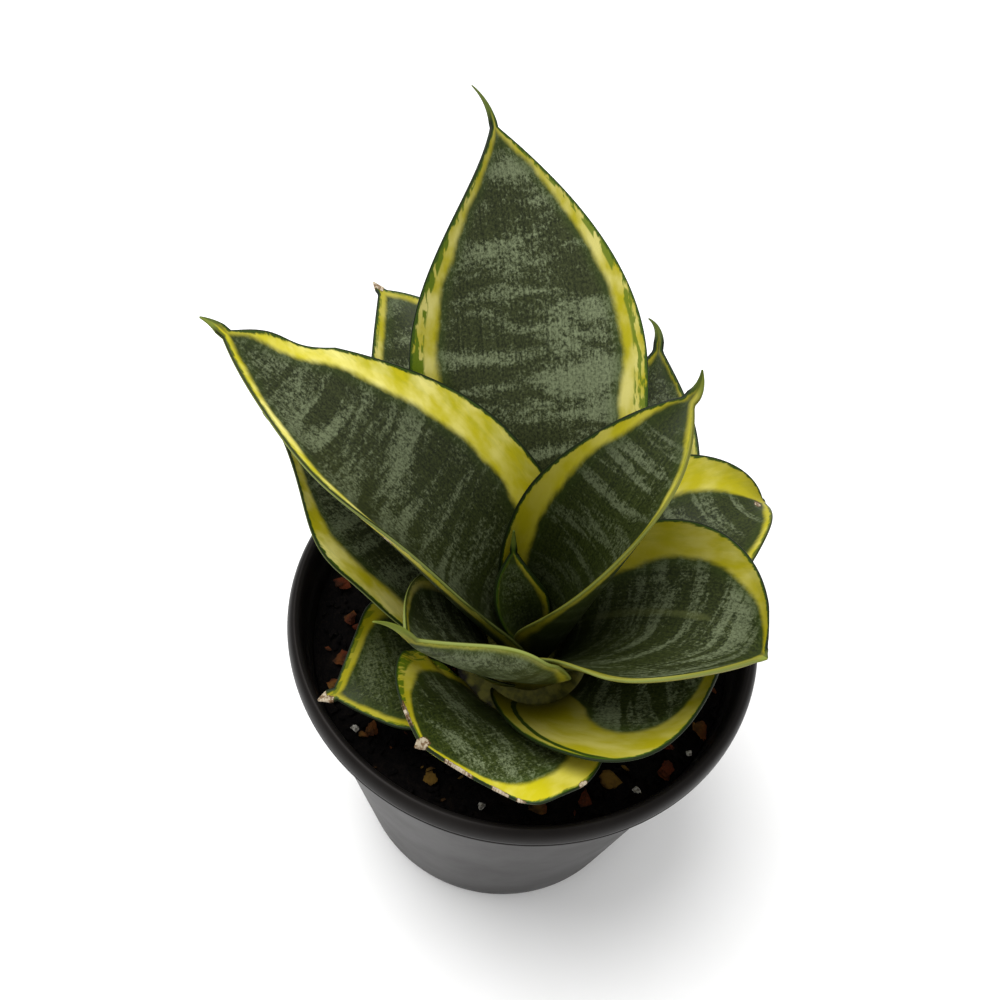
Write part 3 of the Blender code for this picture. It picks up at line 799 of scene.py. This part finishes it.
def add_crumbs():
    """Peat crumbs and broken bark lying loose on the mix."""
    dice = random.Random(11)
    heaps = {"peat": bmesh.new(), "bark": bmesh.new()}
    for _ in range(CRUMBS):
        radius = CRUMB_FIELD * math.sqrt(dice.random())
        angle = math.tau * dice.random()
        x, y = radius * math.cos(angle), radius * math.sin(angle)
        kind = "bark" if dice.random() < BARK_SHARE else "peat"
        size = dice.uniform(*CRUMB_SIZE)
        turn = Matrix.Rotation(dice.uniform(0, math.tau), 4, "Z")
        tilt = Matrix.Rotation(dice.uniform(-0.6, 0.6), 4, "X")
        flat = (size, size * dice.uniform(0.4, 0.8), size * dice.uniform(0.3, 0.6))
        place = Matrix.Translation((x, y, soil_height(x, y) + 0.05 * size))
        one = angular_lump(1, 4, dice)
        bmesh.ops.transform(one, matrix=place @ turn @ tilt @ Matrix.Diagonal((*flat, 1)), verts=one.verts[:])
        mesh = bpy.data.meshes.new("lump")
        one.to_mesh(mesh)
        one.free()
        heaps[kind].from_mesh(mesh)
        bpy.data.meshes.remove(mesh)
    add_piece("peat_crumbs", heaps["peat"], damp_mix(), smooth=False)
    add_piece("bark_crumbs", heaps["bark"], bark_fibre(), smooth=False)


def add_chips():
    """The larger bark chips and perlite grains, each filling the box of its solid shape."""
    dice = random.Random(5)
    finishes = {"bark": bark_fibre(), "perlite": perlite_stone()}
    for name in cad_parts:
        kind = name.split("_")[0]
        if kind not in finishes:
            continue
        low, high = (Vector(corner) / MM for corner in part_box(name))
        bm = angular_lump(3, 9, dice)
        for axis in range(3):
            least = min(vert.co[axis] for vert in bm.verts)
            most = max(vert.co[axis] for vert in bm.verts)
            for vert in bm.verts:
                share = (vert.co[axis] - least) / (most - least)
                vert.co[axis] = low[axis] + share * (high[axis] - low[axis])
        add_piece("broken_" + name, bm, finishes[kind], name, smooth=False)


def finish_crown():
    """The crown keeps its solid shape and gets its own finish."""
    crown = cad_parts["crown"]
    crown.data.materials.clear()
    crown.data.materials.append(crown_tissue())


# ---- Camera, floor and light ----

def add_camera():
    data = bpy.data.cameras.new("camera")
    data.lens = CAMERA_LENS
    data.sensor_width = CAMERA_SENSOR
    camera = bpy.data.objects.new("camera", data)
    right = Vector(CAMERA_RIGHT).normalized()
    forward = Vector(CAMERA_VIEW).normalized()
    up = right.cross(forward).normalized()
    turn = Matrix((right, up, -forward)).transposed().to_4x4()
    camera.matrix_world = Matrix.Translation(Vector(CAMERA_PLACE)) @ turn
    bpy.context.scene.collection.objects.link(camera)
    bpy.context.scene.camera = camera


def add_floor():
    bm = bmesh.new()
    bmesh.ops.create_grid(bm, x_segments=2, y_segments=2, size=FLOOR_HALF)
    mesh = bpy.data.meshes.new("floor")
    bm.to_mesh(mesh)
    bm.free()
    floor = bpy.data.objects.new("floor", mesh)
    floor.data.materials.append(studio_floor_paper())
    bpy.context.scene.collection.objects.link(floor)


def add_light(name, place, target, size, power):
    data = bpy.data.lights.new(name, "AREA")
    data.shape = "DISK"
    data.size = size
    data.energy = power
    light = bpy.data.objects.new(name, data)
    aim = (Vector(target) - Vector(place)).to_track_quat("-Z", "Y")
    light.matrix_world = Matrix.Translation(Vector(place)) @ aim.to_matrix().to_4x4()
    bpy.context.scene.collection.objects.link(light)


def add_studio():
    world = bpy.data.worlds.new("studio")
    world.use_nodes = True
    sky = world.node_tree.nodes["Background"]
    sky.inputs["Color"].default_value = (1.0, 1.0, 1.0, 1.0)
    sky.inputs["Strength"].default_value = SURROUND
    bpy.context.scene.world = world
    add_light("key", KEY_PLACE, KEY_TARGET, KEY_WIDTH, KEY_POWER)
    bpy.context.scene.view_settings.view_transform = "Standard"


add_camera()
add_floor()
add_studio()
skin = leaf_skin()
for rank, leaf in enumerate(LEAVES):
    add_leaf(leaf, rank, skin)
add_pot()
add_soil()
add_crumbs()
add_chips()
finish_crown()
